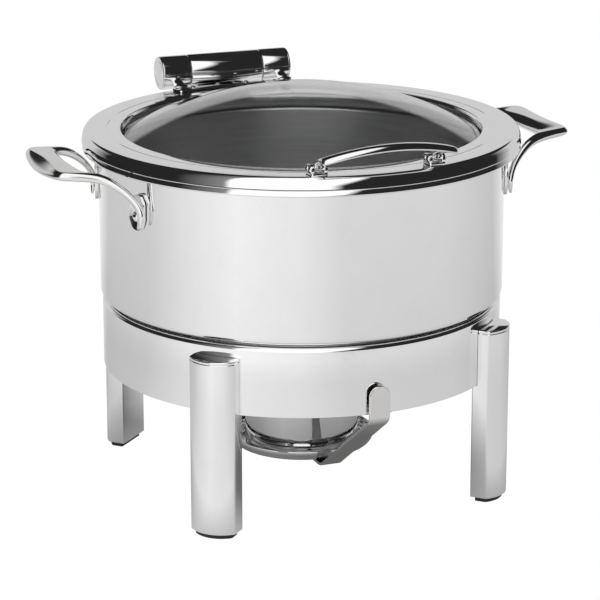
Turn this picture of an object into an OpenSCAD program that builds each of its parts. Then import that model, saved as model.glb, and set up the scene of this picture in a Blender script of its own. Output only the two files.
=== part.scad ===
// Round soup chafer: a polished water pan with a food pan inside it, a hinged
// lid with a glass dome, a stand on four D-shaped legs and a slide-out fuel holder.
// All sizes are millimetres. +X points to the right-hand carrying handle, -Y to
// the front and +Z up. z = 0 is the table.

/* [Vessel] */
// Outer diameter of the water pan
body_d = 384; // [360:2:400]
// Height of the water pan's underside above the table
body_z0 = 184; // [180:1:190]
// Height of the underside of the water pan's lip above the table
lip_z0 = 325; // [310:1:340]
// Depth of the lip
lip_h = 7; // [6:0.5:9]
// How far the lip reaches out past the pan's wall
lip_out = 15; // [12:0.5:17]
// Sheet thickness of both pans
sheet = 1.2; // [1:0.1:1.6]
// Outer corner radius at the foot of the water pan
corner_r = 6; // [4:0.5:10]
// Outer diameter of the food pan's wall
food_d = 340; // [320:2:344]
// Height of the food pan's underside above the table
food_z0 = 205; // [200:1:240]

/* [Stand] */
// Outer diameter of the skirt
skirt_d = 381; // [360:1:384]
// Height of the skirt's lower edge
skirt_z0 = 116.2; // [112:0.2:125]
// Height of the skirt's rolled top edge
skirt_z1 = 182; // [176:0.5:183]
// Sheet thickness of the skirt
skirt_t = 1.5; // [1.2:0.1:2]
// Width of a leg
leg_w = 45; // [38:1:50]
// How far a leg stands out past the skirt
leg_out = 20; // [16:0.5:24]
// How far a leg reaches in past the skirt, below it
leg_in = 6.5; // [4:0.5:9]
// Height of the top of a leg
leg_top = 170; // [150:1:174]
// Thickness of a rubber foot
foot_h = 5; // [3:0.5:6]

/* [Lid] */
// Outer diameter of the lid ring
lid_d = 414.4; // [400:0.2:420]
// Height of the lid ring's flat top above the table
lid_top = 343.2; // [342:0.2:348]
// Clear diameter of the window in the lid ring
window_d = 339.2; // [330:0.2:344]
// Radius of the dome's outer surface
dome_r = 348; // [340:1:400]
// Height of the top of the dome
dome_z = 380; // [379:0.5:384]
// Thickness of the glass
glass_t = 3.8; // [3:0.1:5]

/* [Hinge] */
// Diameter of the hinge barrel
barrel_d = 34; // [30:0.5:34]
// Length of the middle section of the barrel
barrel_mid = 76; // [70:1:84]
// Length of each outer section of the barrel
barrel_end = 28; // [24:1:32]
// Distance of the hinge line behind the vessel's axis
hinge_y = 222; // [221:0.5:230]
// Height of the hinge line
hinge_z = 355; // [353:0.5:358]

/* [Handles] */
// Radius of the outer edge of the carrying handles
grip_r = 260; // [250:1:270]
// Width of the carrying handles' blade
grip_w = 29; // [24:1:32]
// Angle between a handle's rivets and the side of the pan
pad_a = 18.3; // [16:0.1:21]
// Height of the handle rivets
rivet_z = 286.5; // [280:0.5:292]
// Half the distance between the feet of the lid handle
lid_foot_x = 55; // [50:1:60]
// Half the length of the lid handle's grip
lid_grip_x = 66; // [60:1:72]

/* [Fuel holder] */
// Outer radius of the fuel cup
cup_r = 55; // [48:1:58]
// Outer radius of the drip tray under the cup
tray_r = 70; // [62:1:71]
// Height of the drip tray's underside
tray_z = 30; // [26:1:34]
// Width of the pull strap
strap_w = 20; // [16:1:24]
// Thickness of the pull strap
strap_t = 2.6; // [2:0.2:3.4]
// Height of the top of the pull tab
tab_top = 144; // [136:1:150]

/* [Hidden] */
$fn = 96;
gap = 0.2;                          // clearance between faces that meet
axis_y = -8;                        // vessel axis, so that the whole part is centred on Y = 0
body_r = body_d / 2;
body_in = body_r - sheet;
lip_r = body_r + lip_out;
lip_z1 = lip_z0 + lip_h;
skirt_r = skirt_d / 2;
roll_r = 4;
ledge_z = body_z0 - 4.2;            // top of the ledge that carries the pan's base
ledge_in = skirt_r - 38;
lid_r = lid_d / 2;
lid_t = 1.6;
window_r = window_d / 2;
dome_c = dome_z - dome_r;           // height of the dome's centre of curvature
glass_edge = window_r + 4.4;
food_r = food_d / 2;
food_z1 = lip_z1 - 7;               // top of the food pan's flange
barrel_r = barrel_d / 2;
axle_r = 5;
run = 0.06;                         // radial clearance of a running fit
leg_angles = [-135, -45, 45, 135];
leg_arc = (pow(leg_w / 2, 2) + 110) / 21;   // radius of a leg's rounded face
screw_r = 2;
rail_x = 76;                        // outer face of the fuel rails
rail_y = 156;
rail_z = 96;
rail_y0 = -100;                     // front end of the rails
hanger_z = ledge_z - skirt_t - 0.05;
flange_r = 72;
sides = [-1, 1];

steel = [0.80, 0.80, 0.81];
satin = [0.55, 0.55, 0.56];
dark = [0.08, 0.08, 0.08];
clear = [0.85, 0.92, 0.92, 0.35];

// Moves a shape drawn about the vessel's axis to its place in the shared frame
module at_axis() { translate([0, axis_y, 0]) children(); }
// A flat ring between two heights
module ring(r_in, r_out, z0, z1) {
    rotate_extrude() translate([r_in, z0]) square([r_out - r_in, z1 - z0]);
}
// A box given by its low and high corners
module block(a, b) { translate(a) cube(b - a); }
// A round bar through a list of points, with a ball at each bend
module bent_rod(pts, r) {
    for (i = [0:len(pts) - 2]) {
        v = pts[i + 1] - pts[i];
        translate(pts[i]) rotate([0, acos(v[2] / norm(v)), atan2(v[1], v[0])])
            cylinder(r = r, h = norm(v));
    }
    for (c = pts) translate(c) sphere(r = r + 0.15, $fn = 48);
}
// A cylinder along X from x0 to x1 on the hinge line
module on_hinge(r, x0, x1) {
    translate([x0, hinge_y, hinge_z]) rotate([0, 90, 0]) cylinder(r = r, h = x1 - x0);
}
// A pin along +X with a domed head at its start, the head h high
module pin(r, len, head_r, head_h) {
    rotate([0, 90, 0]) cylinder(r = r, h = len);
    rotate([0, -90, 0]) rotate_extrude() intersection() {
        translate([0, head_h - (head_r * head_r + head_h * head_h) / (2 * head_h)])
            circle(r = (head_r * head_r + head_h * head_h) / (2 * head_h));
        square([head_r, head_h]);
    }
}

// ---- Stand ----
module stand_skirt() {
    color(steel) at_axis() difference() {
        rotate_extrude() {
            translate([skirt_r - skirt_t, skirt_z0])
                square([skirt_t, skirt_z1 - roll_r - skirt_z0]);
            translate([skirt_r - 3, skirt_z0]) square([3, 1.6]);
            translate([skirt_r - roll_r, skirt_z1 - roll_r]) intersection() {
                difference() { circle(r = roll_r); circle(r = roll_r - skirt_t); }
                square(roll_r);
            }
            polygon([[skirt_r - roll_r, skirt_z1], [skirt_r - 7.5, skirt_z1],
                [skirt_r - 9, ledge_z], [ledge_in, ledge_z], [ledge_in, ledge_z - 9],
                [ledge_in + skirt_t, ledge_z - 9], [ledge_in + skirt_t, ledge_z - skirt_t],
                [skirt_r - 8, ledge_z - skirt_t], [skirt_r - 6.5, skirt_z1 - skirt_t],
                [skirt_r - roll_r, skirt_z1 - skirt_t]]);
        }
        for (a = leg_angles, z = screw_heights()) rotate(a)
            translate([skirt_r - 6, 0, z]) rotate([0, 90, 0]) cylinder(r = screw_r + gap, h = 9);
        for (sx = sides, sy = sides)
            translate([sx * (rail_x + 5), sy * (rail_y - 9), ledge_z - 5])
                cylinder(r = screw_r + gap, h = 9);
        // notches in the turned-down lip where the rails' front arms pass
        for (sx = sides)
            block([sx > 0 ? rail_x - 2.6 : -rail_x - 0.6, -140, ledge_z - 10],
                [sx > 0 ? rail_x + 0.6 : -rail_x + 2.6, -127, ledge_z - skirt_t + 0.3]);
    }
}
function screw_heights() = [skirt_z0 + 17, leg_top - 14];

// Outline of a leg: flat inside, rounded outside, drawn inset all round
module leg_outline(inset) {
    intersection() {
        translate([skirt_r + leg_out - leg_arc, 0]) circle(r = leg_arc - inset);
        translate([skirt_r - leg_in + inset, -leg_w / 2 + inset])
            square([leg_in + leg_out + 5, leg_w - 2 * inset]);
    }
}
module leg(a) {
    color(steel) at_axis() rotate(a) difference() {
        translate([0, 0, foot_h]) linear_extrude(leg_top - foot_h) leg_outline(0);
        translate([0, 0, skirt_z0 - 0.4]) cylinder(r = skirt_r + gap, h = leg_top);
        translate([0, 0, foot_h - 1]) linear_extrude(skirt_z0 - foot_h - 7) leg_outline(3);
        for (z = screw_heights())
            translate([skirt_r - 2, 0, z]) rotate([0, 90, 0]) cylinder(r = screw_r + 0.1, h = 14);
    }
}
module leg_front_left() { leg(-135); }
module leg_front_right() { leg(-45); }
module leg_rear_left() { leg(135); }
module leg_rear_right() { leg(45); }

module foot(a) {
    color(dark) at_axis() rotate(a) {
        linear_extrude(foot_h - 0.05) leg_outline(3.6);
        linear_extrude(foot_h + 8) leg_outline(3.6);
    }
}
module foot_front_left() { foot(-135); }
module foot_front_right() { foot(-45); }
module foot_rear_left() { foot(135); }
module foot_rear_right() { foot(45); }

module leg_screws() {
    color(satin) at_axis() for (a = leg_angles, z = screw_heights())
        rotate(a) translate([skirt_r - skirt_t - 0.05, 0, z]) pin(screw_r, 12, 4, 2.2);
}

// Shelf, upright web and two hangers with turned-out feet; s is the side
module fuel_rail(s) {
    color(satin) at_axis() difference() {
        union() {
            block([s > 0 ? rail_x - 13 : -rail_x, rail_y0, rail_z],
                [s > 0 ? rail_x : -rail_x + 13, rail_y, rail_z + 2]);
            block([s > 0 ? rail_x - 2 : -rail_x, rail_y0, rail_z],
                [s > 0 ? rail_x : -rail_x + 2, rail_y, rail_z + 9]);
            block([s > 0 ? rail_x - 2 : -rail_x, rail_y0, rail_z],
                [s > 0 ? rail_x : -rail_x + 2, rail_y0 + 16, hanger_z]);
            block([s > 0 ? rail_x - 2 : -rail_x, -rail_y + 1, hanger_z - 10],
                [s > 0 ? rail_x : -rail_x + 2, rail_y0 + 16, hanger_z]);
            block([s > 0 ? rail_x - 2 : -rail_x, rail_y - 17, rail_z],
                [s > 0 ? rail_x : -rail_x + 2, rail_y - 1, hanger_z]);
            for (sy = sides)
                block([s > 0 ? rail_x - 2 : -rail_x - 10, sy * (rail_y - 9) - 8, hanger_z - 2],
                    [s > 0 ? rail_x + 10 : -rail_x + 2, sy * (rail_y - 9) + 8, hanger_z]);
        }
        for (sy = sides)
            translate([s * (rail_x + 5), sy * (rail_y - 9), ledge_z - 9])
                cylinder(r = screw_r + gap, h = 12);
    }
}
module fuel_rail_left() { fuel_rail(-1); }
module fuel_rail_right() { fuel_rail(1); }
module rail_tie() {
    color(satin) at_axis() {
        block([-rail_x, flange_r + 4, rail_z - 2.1], [rail_x, flange_r + 16, rail_z - 0.1]);
        block([-rail_x + 15, flange_r + 4, rail_z - 2.1], [rail_x - 15, flange_r + 6, rail_z + 9]);
    }
}
module rail_rivets() {
    color(satin) at_axis() for (sx = sides, sy = sides)
        translate([sx * (rail_x + 5), sy * (rail_y - 9), ledge_z - skirt_t - 2.1])
            rotate([0, -90, 0]) pin(screw_r, 3.5, 3.6, 1.8);
}

// ---- Fuel holder ----
module fuel_cup() {
    color(steel) at_axis() rotate_extrude() {
        translate([0, tray_z + 1.3]) square([cup_r - 4, 1]);
        translate([cup_r - 4, tray_z + 5.3]) intersection() {
            difference() { circle(r = 4); circle(r = 3); }
            translate([0, -4]) square(4);
        }
        translate([cup_r - 1, tray_z + 5.3]) square([1, rail_z + 2.2 - tray_z - 4]);
        translate([cup_r - 1, rail_z + 2.2]) square([flange_r - cup_r + 1, 1.3]);
        translate([cup_r - 1, rail_z + 2.2]) square([1.6, 6]);
    }
}
module drip_tray() {
    color(steel) at_axis() difference() {
        rotate_extrude() {
            translate([0, tray_z]) square([tray_r - 9, 1.2]);
            translate([tray_r - 9, tray_z + 9]) intersection() {
                difference() { circle(r = 9); circle(r = 7.8); }
                translate([0, -9]) square(9);
            }
            translate([tray_r - 1.2, tray_z + 8.9]) square([1.2, 1.6]);
        }
        for (sx = sides) translate([sx * 5, -tray_r + 22, tray_z - 1]) cylinder(r = 1.7, h = 4);
    }
}
// Foot under the tray, sloping bar and upright tab, as one bent strip
strap_y0 = -tray_r + 5.5;             // where the strap leaves the tray
strap_y1 = -skirt_r - 3.6;          // back face of the tab
strap_z1 = skirt_z0 - 4.6;          // top of the slope
module strip(p, q) {
    v = q - p;
    n = [-v[1], v[0]] / norm(v) * strap_t;
    polygon([p, q, q - n, p - n]);
}
module pull_strap() {
    z0 = tray_z - 0.1;
    color(steel) at_axis() {
        difference() {
            block([-strap_w / 2, strap_y0 - 1, z0 - strap_t], [strap_w / 2, -tray_r + 30, z0]);
            for (sx = sides)
                translate([sx * 5, -tray_r + 22, z0 - 5]) cylinder(r = 1.7, h = 6);
        }
        translate([-strap_w / 2, 0, 0]) rotate([90, 0, 90]) linear_extrude(strap_w)
            strip([strap_y1, strap_z1], [strap_y0, z0]);
        translate([0, strap_y1, 0]) rotate([90, 0, 0]) linear_extrude(strap_t) {
            translate([-strap_w / 2, strap_z1 - 3])
                square([strap_w, tab_top - strap_w / 2 - strap_z1 + 3]);
            translate([0, tab_top - strap_w / 2]) circle(d = strap_w);
        }
    }
}
module strap_rivets() {
    color(satin) at_axis() for (sx = sides)
        translate([sx * 5, -tray_r + 22, tray_z - 0.15 - strap_t]) rotate([0, -90, 0])
            pin(1.5, strap_t + 1.2, 2.8, 1.2);
}

// ---- Vessel ----
module water_pan() {
    color(steel) at_axis() difference() {
        rotate_extrude() {
            translate([0, body_z0]) square([body_r - corner_r, sheet]);
            translate([body_r - corner_r, body_z0 + corner_r]) intersection() {
                difference() { circle(r = corner_r); circle(r = corner_r - sheet); }
                translate([0, -corner_r]) square(corner_r);
            }
            translate([body_in, body_z0 + corner_r])
                square([sheet, lip_z1 - 1 - body_z0 - corner_r]);
            polygon([[body_in, lip_z1], [body_in, lip_z1 - 2], [lip_r - 6, lip_z0 + 1],
                [lip_r - 5, lip_z0], [lip_r - 2.5, lip_z0], [lip_r, lip_z0 + 2.5], [lip_r, lip_z1 - 1.5],
                [lip_r - 1.5, lip_z1]]);
        }
        for (a = pad_angles()) rotate(a) translate([body_in - 3, 0, rivet_z])
            rotate([0, 90, 0]) cylinder(r = 3.2, h = 9);
        for (x = sides) translate([x * 22, body_in - 4, bracket_z])
            rotate([-90, 0, 0]) cylinder(r = 2.7, h = 9);
    }
}
function pad_angles() = [-pad_a, pad_a, 180 - pad_a, 180 + pad_a];
module base_disc() {
    color(satin) at_axis() translate([0, 0, ledge_z + gap])
        cylinder(r = skirt_r - 14, h = body_z0 - ledge_z - gap - 0.05);
}
module pan_ledge() {
    color(satin) at_axis() rotate_extrude()
        polygon([[food_r + 6, food_z1 - sheet - gap], [body_in - gap, food_z1 - sheet - gap],
            [body_in - gap, food_z1 - 14], [body_in - gap - 1.5, food_z1 - 14],
            [body_in - gap - 1.5, food_z1 - sheet - gap - 1.5],
            [food_r + 6, food_z1 - sheet - gap - 1.5]]);
}
module food_pan() {
    r = 14;
    color(satin) at_axis() rotate_extrude() {
        translate([0, food_z0]) square([food_r - r, sheet]);
        translate([food_r - r, food_z0 + r]) intersection() {
            difference() { circle(r = r); circle(r = r - sheet); }
            translate([0, -r]) square(r);
        }
        translate([food_r - sheet, food_z0 + r])
            square([sheet, food_z1 - sheet - food_z0 - r]);
        translate([food_r - sheet, food_z1 - sheet]) square([body_in - food_r, sheet]);
    }
}
// Two riveted pads, two bowed arms and a wide blade; s is the side
module side_handle(s) {
    color(steel) at_axis() rotate(s > 0 ? 0 : 180) {
        for (a = [-pad_a, pad_a]) rotate(a) difference() {
            translate([body_r + 0.3, 0, rivet_z]) rotate([90, 0, 90]) linear_extrude(3.4) {
                circle(r = 12);
                translate([0, 15.5]) circle(r = 6.5);
                polygon([[-11.6, 3], [11.6, 3], [6.3, 17], [-6.3, 17]]);
            }
            translate([body_r - 1, 0, rivet_z]) rotate([0, 90, 0]) cylinder(r = 3.2, h = 9);
        }
        for (y = sides)
            bent_rod([for (p = arm_path) [body_r + p[0], y * p[1], rivet_z + p[2]]], 4.1);
        rotate([0, 0, -blade_a]) rotate_extrude(angle = 2 * blade_a)
            polygon([[grip_r - grip_w, 321], [grip_r - grip_w + 3, 318.5], [grip_r - 6, 318.5],
                [grip_r - 1, 321.5], [grip_r, 326.5], [grip_r - 4, 331.6],
                [grip_r - grip_w + 5, 329.4], [grip_r - grip_w, 325.6]]);
    }
}
blade_a = 11.6;
// Bends of a carrying handle's arm: out from the wall, sideways, up from the rivet
arm_path = [[-4.5, 61.5, 15], [8.5, 60, 29.2], [17, 59, 34.2], [29, 57.5, 38.2], [52, 51, 40.4]];
module side_handle_left() { side_handle(-1); }
module side_handle_right() { side_handle(1); }
module handle_rivets() {
    color(steel) at_axis() for (a = pad_angles()) rotate(a)
        translate([body_r + 3.75, 0, rivet_z]) mirror([1, 0, 0]) pin(3, 3.8 + sheet + 0.4, 5.2, 3.2);
    color(steel) at_axis() for (a = pad_angles()) rotate(a)
        translate([body_in - 1.9, 0, rivet_z]) rotate([0, 90, 0]) cylinder(r = 5, h = 1.5);
}

// ---- Hinge, fixed half ----
bracket_z = lip_z0 - 17;            // height of the bracket's rivets
module hinge_bracket() {
    color(steel) at_axis() difference() {
        union() {
            block([-32, lip_r + 4.5, bracket_z - 9], [32, lip_r + 8, hinge_z - 10]);
            block([-32, body_r - 6, bracket_z - 9], [32, lip_r + 8, bracket_z - 6]);
            intersection() {
                block([-32, body_r - 8, bracket_z - 9], [32, body_r + 4, bracket_z + 9]);
                cylinder(r = body_r + 2.8, h = 2 * hinge_z);
            }
        }
        cylinder(r = body_r + 0.3, h = 2 * hinge_z);
        on_hinge(barrel_r + 0.05, -60, 60);
        for (x = sides) translate([x * 22, body_in - 4, bracket_z])
            rotate([-90, 0, 0]) cylinder(r = 2.7, h = 9);
    }
}
module bracket_rivets() {
    color(steel) at_axis() for (x = sides)
        translate([x * 22, sqrt(pow(body_r + 2.8, 2) - 484) + 0.9, bracket_z])
            rotate([0, 0, -90]) pin(2.5, 7, 4, 2);
}
module hinge_barrel() {
    color(steel) at_axis() difference() {
        on_hinge(barrel_r, -barrel_mid / 2, barrel_mid / 2);
        on_hinge(barrel_r - 2, -barrel_mid / 2 + 3, barrel_mid / 2 - 3);
        on_hinge(axle_r, -barrel_mid, barrel_mid);
    }
}
module hinge_axle() {
    color(satin) at_axis()
        on_hinge(axle_r - run, -barrel_mid / 2 - barrel_end + 3, barrel_mid / 2 + barrel_end - 3);
}
module damper(s) {
    x0 = s > 0 ? 3 : -barrel_mid / 2 + 4;
    color(dark) at_axis() difference() {
        on_hinge(barrel_r - 2.2, x0, x0 + barrel_mid / 2 - 7);
        on_hinge(axle_r, -barrel_mid, barrel_mid);
    }
}
module damper_left() { damper(-1); }
module damper_right() { damper(1); }

// ---- Lid ----
// Height of a sphere's surface, centred on the dome's centre, at radius x
function dome_at(x, r) = dome_c + sqrt(r * r - x * x);
boss_r = 186;
boss_z0 = food_z1 + 3.4;            // underside of the glass retainer's bosses
module lid_ring() {
    color(steel) at_axis() difference() {
        union() {
            rotate_extrude() {
                translate([lid_r - lid_t, lip_z1 + 0.4]) square([lid_t, lid_top - lip_z1 - 6.4]);
                translate([lid_r - 6, lid_top - 6]) intersection() {
                    difference() { circle(r = 6); circle(r = 6 - lid_t); }
                    square(6);
                }
                translate([183, lid_top - lid_t]) square([lid_r - 6 - 183, lid_t]);
                translate([183, lid_top - shoulder_r]) intersection() {
                    difference() { circle(r = shoulder_r); circle(r = shoulder_r - lid_t); }
                    translate([-window_lip, 0]) square([window_lip, shoulder_r]);
                }
            }
            for (a = [22.5:45:359]) rotate(a) translate([boss_r, 0, boss_z0])
                cylinder(r = 3.4, h = lid_top - lid_t - boss_z0 + 0.3);
        }
        for (a = [22.5:45:359]) rotate(a) translate([boss_r, 0, boss_z0 - 1])
            cylinder(r = 1.6, h = 9);
        for (a = foot_screw_angles()) rotate(a) translate([foot_screw_r, 0, lid_top - 8])
            cylinder(r = 1.7, h = 12);
        for (a = plate_screw_angles) rotate(a) translate([plate_screw_r, 0, lid_top - 8])
            cylinder(r = 1.7, h = 12);
    }
}
window_lip = 183 - window_r;        // width of the shoulder around the window
shoulder_r = 22;                    // radius of that shoulder's curve
function foot_screw_angles() = [-90 - asin(lid_foot_x / foot_screw_r), -90 + asin(lid_foot_x / foot_screw_r)];
foot_screw_r = 194;
plate_screw_angles = [77, 85.7, 94.3, 103];
plate_screw_r = 193.5;
module lid_seal() {
    color(dark) at_axis() ring(lid_r - lid_t - 3.2, lid_r - lid_t - 0.2, lip_z1 + 0.25, lip_z1 + 3.6);
}
module dome_section(r, edge) {
    intersection() {
        difference() {
            translate([0, dome_c]) circle(r = r, $fn = 360);
            translate([0, dome_c]) circle(r = r - glass_t, $fn = 360);
        }
        translate([0, dome_c + 200]) square([edge, 400]);
    }
}
module glass_dome() { color(clear) at_axis() rotate_extrude() dome_section(dome_r, glass_edge); }
// Rubber channel around the edge of the glass
module glass_gasket() {
    e = glass_edge + 0.15;
    o = dome_at(e, dome_r);
    i = dome_at(e, dome_r - glass_t);
    color(dark) at_axis() rotate_extrude() {
        polygon([[window_r + 1.5, dome_at(window_r + 1.5, dome_r) + 0.15], [e, o + 0.15],
            [e, i - 0.3], [window_r + 2, dome_at(window_r + 2, dome_r - glass_t) - 0.3],
            [window_r + 2, boss_z0 - 0.1], [e + 2.2, boss_z0 - 0.1], [e + 2.2, o + 1.4],
            [window_r + 1.5, dome_at(window_r + 1.5, dome_r) + 0.6]]);
    }
}
module glass_retainer() {
    color(satin) at_axis() difference() {
        ring(window_r + 1, boss_r + 3.6, boss_z0 - 1.7, boss_z0 - 0.2);
        for (a = [22.5:45:359]) rotate(a) translate([boss_r, 0, boss_z0 - 4])
            cylinder(r = 1.7, h = 6);
    }
}
module retainer_screws() {
    color(satin) at_axis() for (a = [22.5:45:359]) rotate(a)
        translate([boss_r, 0, boss_z0 - 1.75]) rotate([0, -90, 0]) pin(1.5, 7, 2.8, 0.9);
}
// Outer barrel section with an ear that reaches down to the hinge plate
module hinge_knuckle(s) {
    x0 = s > 0 ? barrel_mid / 2 + 0.5 : -barrel_mid / 2 - barrel_end;
    x1 = x0 + barrel_end - 0.5;
    ex = s * (barrel_mid / 2 + barrel_end * 0.62) - 5;
    color(steel) at_axis() difference() {
        union() {
            on_hinge(barrel_r, x0, x1);
            translate([ex, 0, 0]) rotate([90, 0, 90]) linear_extrude(10)
                polygon([[hinge_y - 4, hinge_z + 8], [hinge_y - 14, hinge_z + 7],
                    [hinge_y - 22, hinge_z + 1], [hinge_y - 30, plate_z + 4.4],
                    [hinge_y - 32, plate_z + 2.45], [hinge_y - 31, plate_z + 0.05],
                    [hinge_y - 16, plate_z + 0.05], [hinge_y - 8, hinge_z - 10]]);
        }
        on_hinge(barrel_r - 2, s > 0 ? x0 + 4 : x0 - 1, s > 0 ? x1 + 1 : x1 - 4);
        on_hinge(axle_r, -90, 90);
        translate([0, hinge_y, hinge_z]) rotate([0, 90, 0])
            translate([0, 0, -barrel_mid / 2 - 0.5]) cylinder(r = 22, h = barrel_mid + 1);
    }
}
plate_z = lid_top + 2.6;            // top of the hinge plate
module hinge_knuckle_left() { hinge_knuckle(-1); }
module hinge_knuckle_right() { hinge_knuckle(1); }
module hinge_cap(s) {
    x = barrel_mid / 2 + barrel_end;
    color(steel) at_axis() {
        on_hinge(barrel_r - 0.4, s > 0 ? x + 0.05 : -x - 2, s > 0 ? x + 2 : -x - 0.05);
        on_hinge(barrel_r - 2.2, s > 0 ? x - 2 : -x - 2, s > 0 ? x + 2 : -x + 2);
    }
}
module hinge_cap_left() { hinge_cap(-1); }
module hinge_cap_right() { hinge_cap(1); }
// Curved plate that follows the rear of the lid ring
module hinge_plate() {
    color(steel) at_axis() difference() {
        rotate(90 - plate_a) rotate_extrude(angle = 2 * plate_a)
            translate([186, lid_top + 0.1]) square([15.5, plate_z - lid_top - 0.1]);
        for (a = plate_screw_angles) rotate(a) translate([plate_screw_r, 0, lid_top - 2])
            cylinder(r = 1.7, h = 9);
    }
}
plate_a = 19;
module hinge_screws() {
    color(steel) at_axis() for (a = plate_screw_angles) rotate(a)
        translate([plate_screw_r, 0, plate_z + 0.05]) rotate([0, 90, 0]) pin(1.5, 6.5, 3, 1.3);
}

// ---- Lid handle ----
grip_y = -209;                      // ends of the grip, forward of the vessel's axis
grip_bow = 11;                      // how far the middle bows forward
grip_z = 357;                       // underside of the ends
grip_rise = 8;                      // how much higher the middle is
foot_y = -187;
function arc(half, rise) = (half * half + rise * rise) / (2 * rise);
module lid_handle() {
    pr = arc(lid_grip_x, grip_bow);
    vr = arc(lid_grip_x, grip_rise);
    color(steel) at_axis() {
        intersection() {
            translate([0, grip_y - grip_bow + pr, grip_z - 20]) linear_extrude(60) difference() {
                circle(r = pr);
                circle(r = pr - 12);
                translate([-2 * pr, -pr + grip_bow + 13]) square(4 * pr);
            }
            translate([0, 0, grip_z + grip_rise - vr]) rotate([90, 0, 0]) linear_extrude(400)
                difference() {
                    circle(r = vr + 7, $fn = 240);
                    circle(r = vr, $fn = 240);
                    translate([-2 * vr, -4 * vr]) square(4 * vr);
                }
            block([-lid_grip_x, -300, 0], [lid_grip_x, 0, 400]);
        }
        for (s = sides) {
            bent_rod([[s * lid_foot_x, foot_y - 2.5, lid_top + 12.8],
                [s * (lid_foot_x + 0.5), foot_y - 7, lid_top + 16],
                [s * (lid_foot_x + 1), grip_y + 3, grip_z + 6.4]], 3.6);
            translate([s * lid_foot_x, foot_y, lid_top + 7.2]) difference() {
                block([-4.4, -6.4, -3.6], [4.4, 7.4, 4.6]);
                for (y = [-3.2, 4]) translate([-20, y, 0]) rotate([0, 90, 0])
                    cylinder(r = 1.7, h = 40);
            }
        }
    }
}
// Base plate with two cheeks that hold a foot of the handle
module handle_foot(s) {
    x = s * lid_foot_x;
    color(steel) at_axis() difference() {
        union() {
            block([x - 8, foot_y - 7.5, lid_top + 0.1], [x + 8, foot_y + 9, lid_top + 3]);
            for (c = sides) translate([x + c * 6.3, foot_y, lid_top + 3]) block([-1.7, -6.5, -1], [1.7, 8, 8]);
        }
        for (y = [-3.2, 4]) translate([x - 20, foot_y + y, lid_top + 7.2]) rotate([0, 90, 0])
            cylinder(r = 1.7, h = 40);
        for (a = foot_screw_angles()) rotate(a) translate([foot_screw_r, 0, lid_top - 2])
            cylinder(r = 1.7, h = 4.2);
    }
}
module handle_foot_left() { handle_foot(-1); }
module handle_foot_right() { handle_foot(1); }
// Two cross pins in each foot
module handle_pins() {
    color(steel) at_axis() for (s = sides) {
        translate([s * lid_foot_x - 8.1, foot_y - 3.2, lid_top + 7.2]) pin(1.6, 16.2, 2.8, 1.6);
        translate([s * lid_foot_x - 8.1, foot_y + 4, lid_top + 7.2]) pin(1.6, 16.2, 2.8, 1.6);
    }
}

stand_skirt();
leg_front_left();
leg_front_right();
leg_rear_left();
leg_rear_right();
foot_front_left();
foot_front_right();
foot_rear_left();
foot_rear_right();
leg_screws();
fuel_rail_left();
fuel_rail_right();
rail_tie();
rail_rivets();
fuel_cup();
drip_tray();
pull_strap();
strap_rivets();
water_pan();
base_disc();
pan_ledge();
food_pan();
side_handle_left();
side_handle_right();
handle_rivets();
hinge_bracket();
bracket_rivets();
hinge_barrel();
hinge_axle();
damper_left();
damper_right();
lid_ring();
lid_seal();
glass_dome();
glass_gasket();
glass_retainer();
retainer_screws();
hinge_knuckle_left();
hinge_knuckle_right();
hinge_cap_left();
hinge_cap_right();
hinge_plate();
hinge_screws();
lid_handle();
handle_foot_left();
handle_foot_right();
handle_pins();
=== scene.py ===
"""Round soup chafer on a four-legged stand: polished steel vessel, glass-domed lid, fuel holder.

Every shape is drawn in millimetres about the vessel's upright axis and brought
into the shared frame by TO_FRAME as its mesh is finished.
"""
import math

import bmesh
import bpy
from mathutils import Matrix, Vector


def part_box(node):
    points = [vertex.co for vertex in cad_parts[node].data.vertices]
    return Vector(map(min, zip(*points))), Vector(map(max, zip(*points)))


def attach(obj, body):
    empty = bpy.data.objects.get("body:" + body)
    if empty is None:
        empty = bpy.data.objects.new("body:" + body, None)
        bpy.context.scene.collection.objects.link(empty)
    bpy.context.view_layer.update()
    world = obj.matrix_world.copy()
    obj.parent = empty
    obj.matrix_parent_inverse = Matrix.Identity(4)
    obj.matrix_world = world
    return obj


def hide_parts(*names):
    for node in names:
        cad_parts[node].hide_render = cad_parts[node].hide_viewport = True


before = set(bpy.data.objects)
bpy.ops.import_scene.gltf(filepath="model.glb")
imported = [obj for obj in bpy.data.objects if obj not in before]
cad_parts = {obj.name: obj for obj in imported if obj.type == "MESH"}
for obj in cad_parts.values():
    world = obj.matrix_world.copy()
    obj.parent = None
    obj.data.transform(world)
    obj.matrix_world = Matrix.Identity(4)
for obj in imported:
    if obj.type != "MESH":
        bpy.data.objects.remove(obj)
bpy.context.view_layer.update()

# ---- The vessel's axis and the main sizes, in millimetres ----
pan_low, pan_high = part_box("water_pan")
AXIS_Y = (pan_low.y + pan_high.y) / 2
TO_FRAME = Matrix.Translation((0, AXIS_Y, 0)) @ Matrix.Scale(0.001, 4)

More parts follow.
